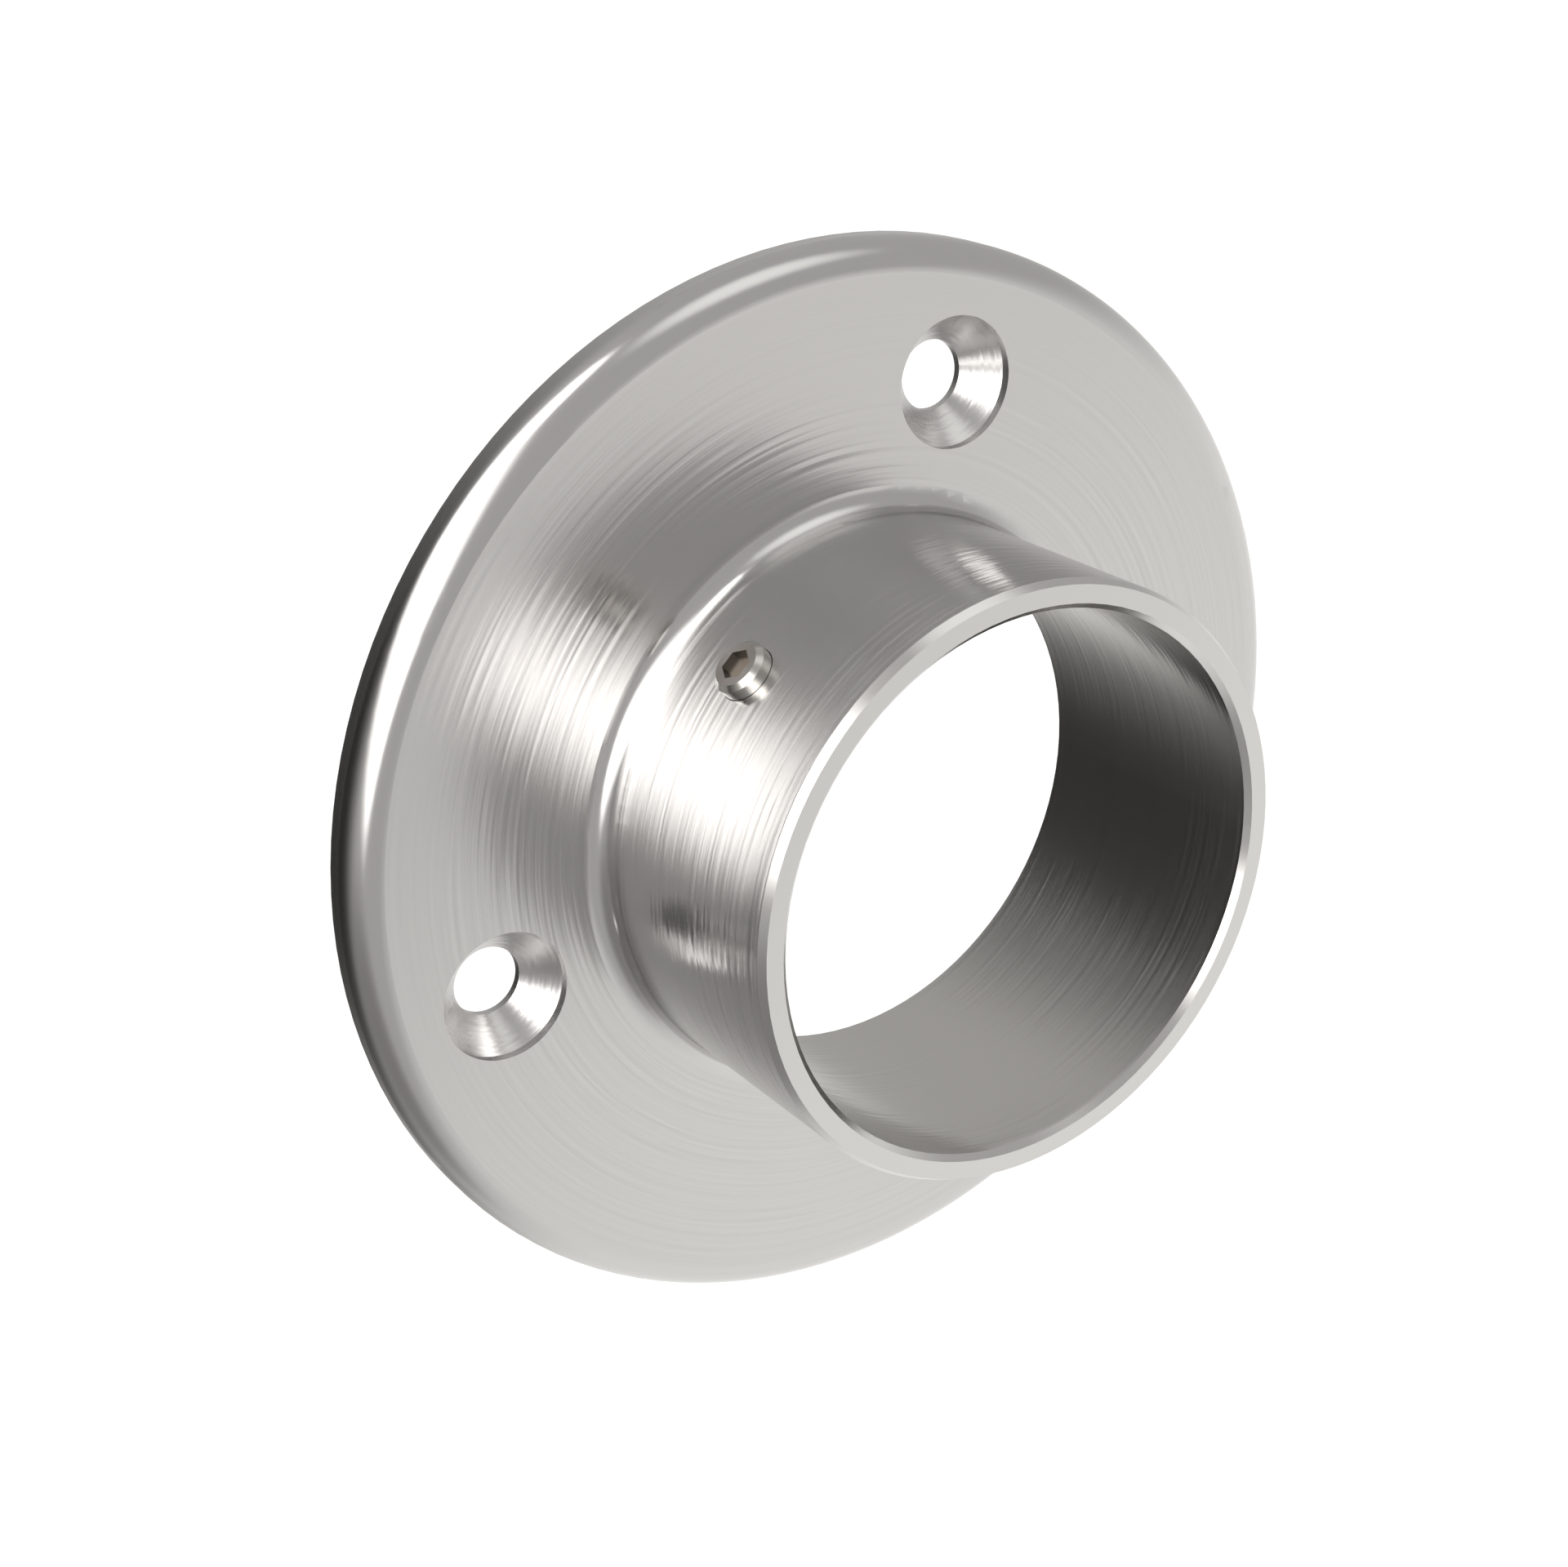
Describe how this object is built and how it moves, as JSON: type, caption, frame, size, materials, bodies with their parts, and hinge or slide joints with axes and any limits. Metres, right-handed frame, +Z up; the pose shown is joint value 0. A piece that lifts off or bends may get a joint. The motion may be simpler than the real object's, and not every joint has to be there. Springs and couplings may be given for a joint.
{
  "type": "handrail wall flange",
  "caption": "Round stainless steel wall flange with a short collar that holds a round handrail tube, clamped by a hexagon socket set screw.",
  "frame": {"origin": "on the socket's axis, in the plane of the back face that lies against the wall", "axes": "+Y into the wall, -Y out along the handrail, +Z up, +X to the right as seen by someone who faces the wall"},
  "size_m": [0.1, 0.029, 0.1],
  "materials": {
    "brushed_stainless": "brushed in circles on the plate and round the collar, satin elsewhere",
    "screw_stainless": "plain satin, as turned"
  },
  "bodies": {
    "wall_flange": {"wall_flange": "brushed_stainless"},
    "set_screw": {"set_screw": "screw_stainless"}
  },
  "joints": [
    {"name": "screw_travel", "type": "slide", "parent": "wall_flange", "child": "set_screw", "axis": [0.712, 0, -0.7022], "range_m": [-0.0015, 0.0015]}
  ]
}
